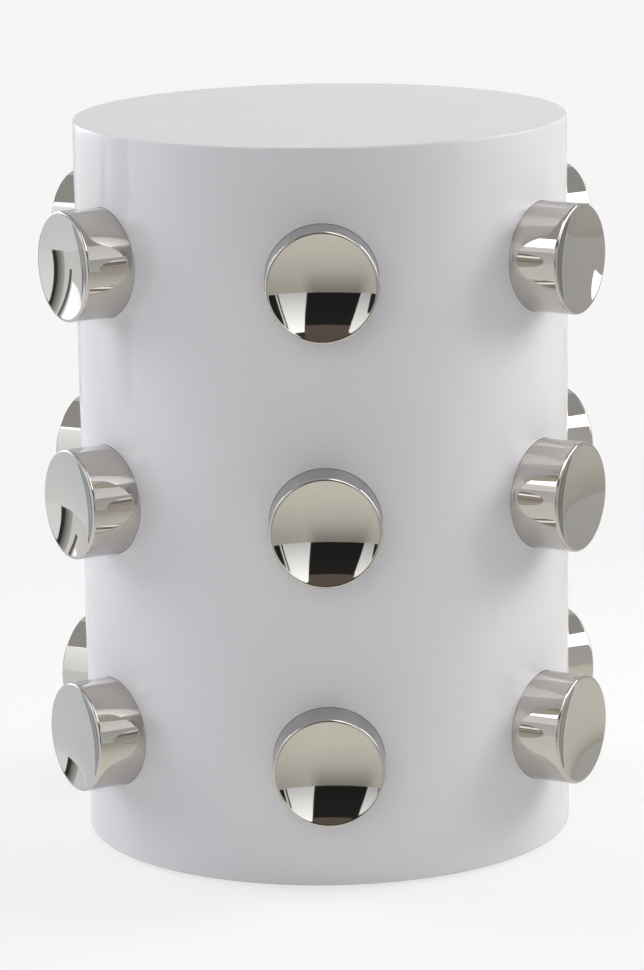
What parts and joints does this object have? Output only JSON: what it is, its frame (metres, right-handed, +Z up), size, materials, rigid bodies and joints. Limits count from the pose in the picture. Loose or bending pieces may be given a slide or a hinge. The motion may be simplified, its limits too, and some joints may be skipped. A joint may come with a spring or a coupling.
{
  "type": "round side table",
  "caption": "Round drum side table in white high-gloss lacquer, with rows of large polished-metal studs with dished faces bolted round its side.",
  "frame": {"origin": "on the floor under the middle of the drum", "axes": "+Z up along the drum's axis; -Y is the front, where stud column 1 faces"},
  "size_m": [0.3434, 0.359, 0.45],
  "materials": {
    "white_lacquer": "white high-gloss lacquer over board",
    "polished_nickel": "polished nickel plate on pressed steel",
    "turned_wood": "plain turned hardwood",
    "raw_board": "raw medium-density board",
    "zinc_steel": "zinc-plated steel",
    "nylon": "natural moulded nylon"
  },
  "bodies": {
    "root": {"top_panel": "white_lacquer", "drum_wall": "white_lacquer", "former_ring_1": "raw_board", "former_ring_2": "raw_board", "base_ring": "raw_board", "base_panel": "raw_board", "base_panel_screws": "zinc_steel", "glide_screws": "zinc_steel", "stud_bolts": "zinc_steel", "stud_washers": "zinc_steel", "stud_nuts": "zinc_steel", "glide_1": "nylon", "glide_2": "nylon", "glide_3": "nylon", "glide_4": "nylon", "stud_cap_column1_row1": "polished_nickel", "stud_cap_column1_row2": "polished_nickel", "stud_cap_column1_row3": "polished_nickel", "stud_cap_column2_row1": "polished_nickel", "stud_cap_column2_row2": "polished_nickel", "stud_cap_column2_row3": "polished_nickel", "stud_cap_column3_row1": "polished_nickel", "stud_cap_column3_row2": "polished_nickel", "stud_cap_column3_row3": "polished_nickel", "stud_cap_column4_row1": "polished_nickel", "stud_cap_column4_row2": "polished_nickel", "stud_cap_column4_row3": "polished_nickel", "stud_cap_column5_row1": "polished_nickel", "stud_cap_column5_row2": "polished_nickel", "stud_cap_column5_row3": "polished_nickel", "stud_cap_column6_row1": "polished_nickel", "stud_cap_column6_row2": "polished_nickel", "stud_cap_column6_row3": "polished_nickel", "stud_core_column1_row1": "turned_wood", "stud_core_column1_row2": "turned_wood", "stud_core_column1_row3": "turned_wood", "stud_core_column2_row1": "turned_wood", "stud_core_column2_row2": "turned_wood", "stud_core_column2_row3": "turned_wood", "stud_core_column3_row1": "turned_wood", "stud_core_column3_row2": "turned_wood", "stud_core_column3_row3": "turned_wood", "stud_core_column4_row1": "turned_wood", "stud_core_column4_row2": "turned_wood", "stud_core_column4_row3": "turned_wood", "stud_core_column5_row1": "turned_wood", "stud_core_column5_row2": "turned_wood", "stud_core_column5_row3": "turned_wood", "stud_core_column6_row1": "turned_wood", "stud_core_column6_row2": "turned_wood", "stud_core_column6_row3": "turned_wood"}
  },
  "joints": []
}
